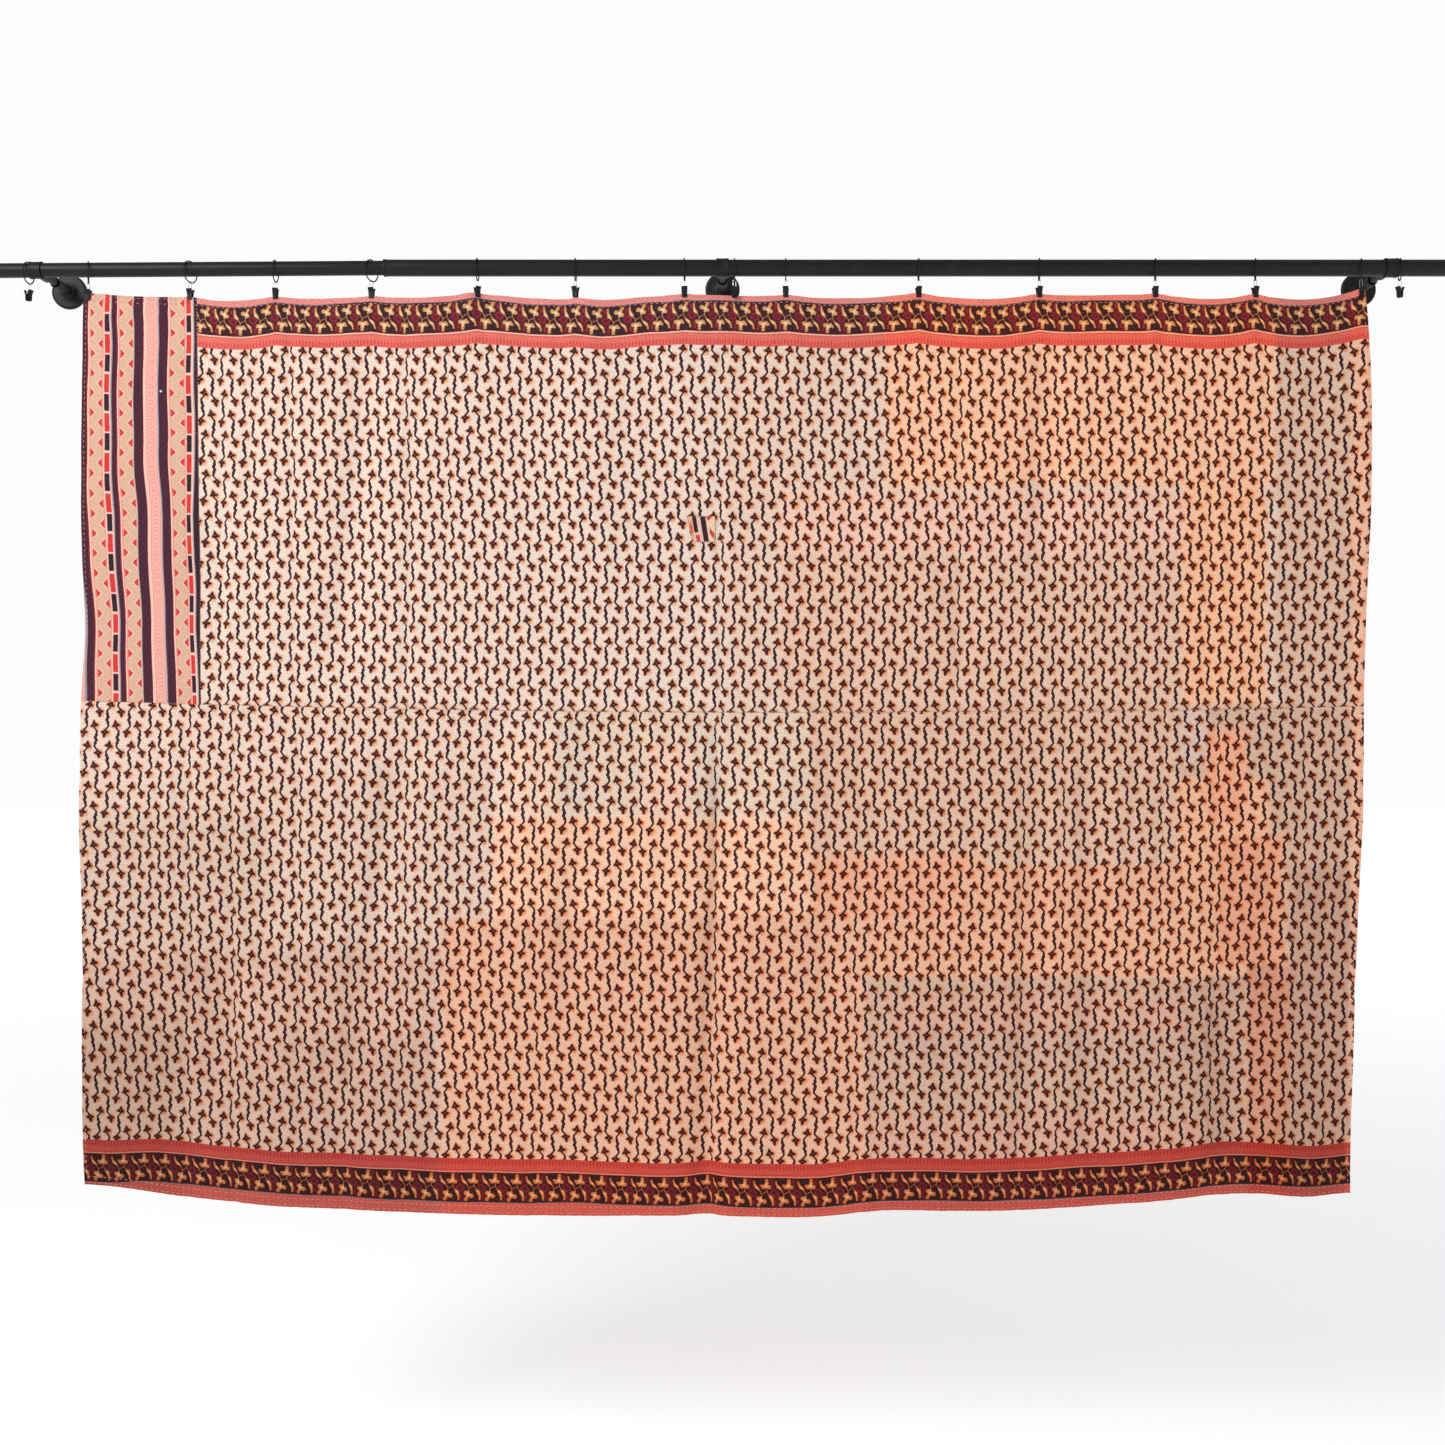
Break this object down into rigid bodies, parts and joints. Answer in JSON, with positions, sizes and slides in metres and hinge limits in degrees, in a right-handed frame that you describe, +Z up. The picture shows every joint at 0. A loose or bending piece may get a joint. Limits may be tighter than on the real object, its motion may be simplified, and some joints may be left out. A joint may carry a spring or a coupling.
{
  "type": "kantha quilt hung by clip rings from a wall-mounted rod",
  "caption": "Wide printed and stitched cotton quilt with a striped panel and dark borders, clipped to rings on a black wall rod with three brackets.",
  "frame": {"origin": "centre of the middle wall flange's back face, which lies on the wall", "axes": "+X right along the rod, +Y into the wall, +Z up; the quilt's front faces -Y"},
  "size_m": [2.3401, 0.1412, 1.4987],
  "materials": {
    "print_cloth": "printed thin cotton layers, hand quilted, matt",
    "stripe_cloth": "printed striped thin cotton layers, hand quilted, matt",
    "patch_cloth": "printed thin cotton, matt",
    "black_steel": "satin black",
    "bright_wire": "bright drawn wire"
  },
  "bodies": {
    "root": {"panel_upper": "print_cloth", "panel_lower": "print_cloth", "panel_striped": "stripe_cloth", "mending_patch": "patch_cloth", "rod_thin": "black_steel", "rod_thick": "black_steel", "bracket_left": "black_steel", "bracket_middle": "black_steel", "bracket_right": "black_steel", "ring_01": "black_steel", "ring_02": "black_steel", "ring_03": "black_steel", "ring_04": "black_steel", "ring_05": "black_steel", "ring_06": "black_steel", "ring_07": "black_steel", "ring_08": "black_steel", "ring_09": "black_steel", "ring_10": "black_steel", "ring_11": "black_steel", "ring_12": "black_steel", "ring_13": "black_steel", "ring_14": "black_steel", "ring_15": "black_steel", "ring_16": "black_steel", "clip_01": "black_steel", "clip_02": "black_steel", "clip_03": "black_steel", "clip_04": "black_steel", "clip_05": "black_steel", "clip_06": "black_steel", "clip_07": "black_steel", "clip_08": "black_steel", "clip_09": "black_steel", "clip_10": "black_steel", "clip_11": "black_steel", "clip_12": "black_steel", "clip_13": "black_steel", "clip_14": "black_steel", "clip_15": "black_steel", "clip_16": "black_steel", "bail_01": "bright_wire", "bail_02": "bright_wire", "bail_03": "bright_wire", "bail_04": "bright_wire", "bail_05": "bright_wire", "bail_06": "bright_wire", "bail_07": "bright_wire", "bail_08": "bright_wire", "bail_09": "bright_wire", "bail_10": "bright_wire", "bail_11": "bright_wire", "bail_12": "bright_wire", "bail_13": "bright_wire", "bail_14": "bright_wire", "bail_15": "bright_wire", "bail_16": "bright_wire"}
  },
  "joints": []
}
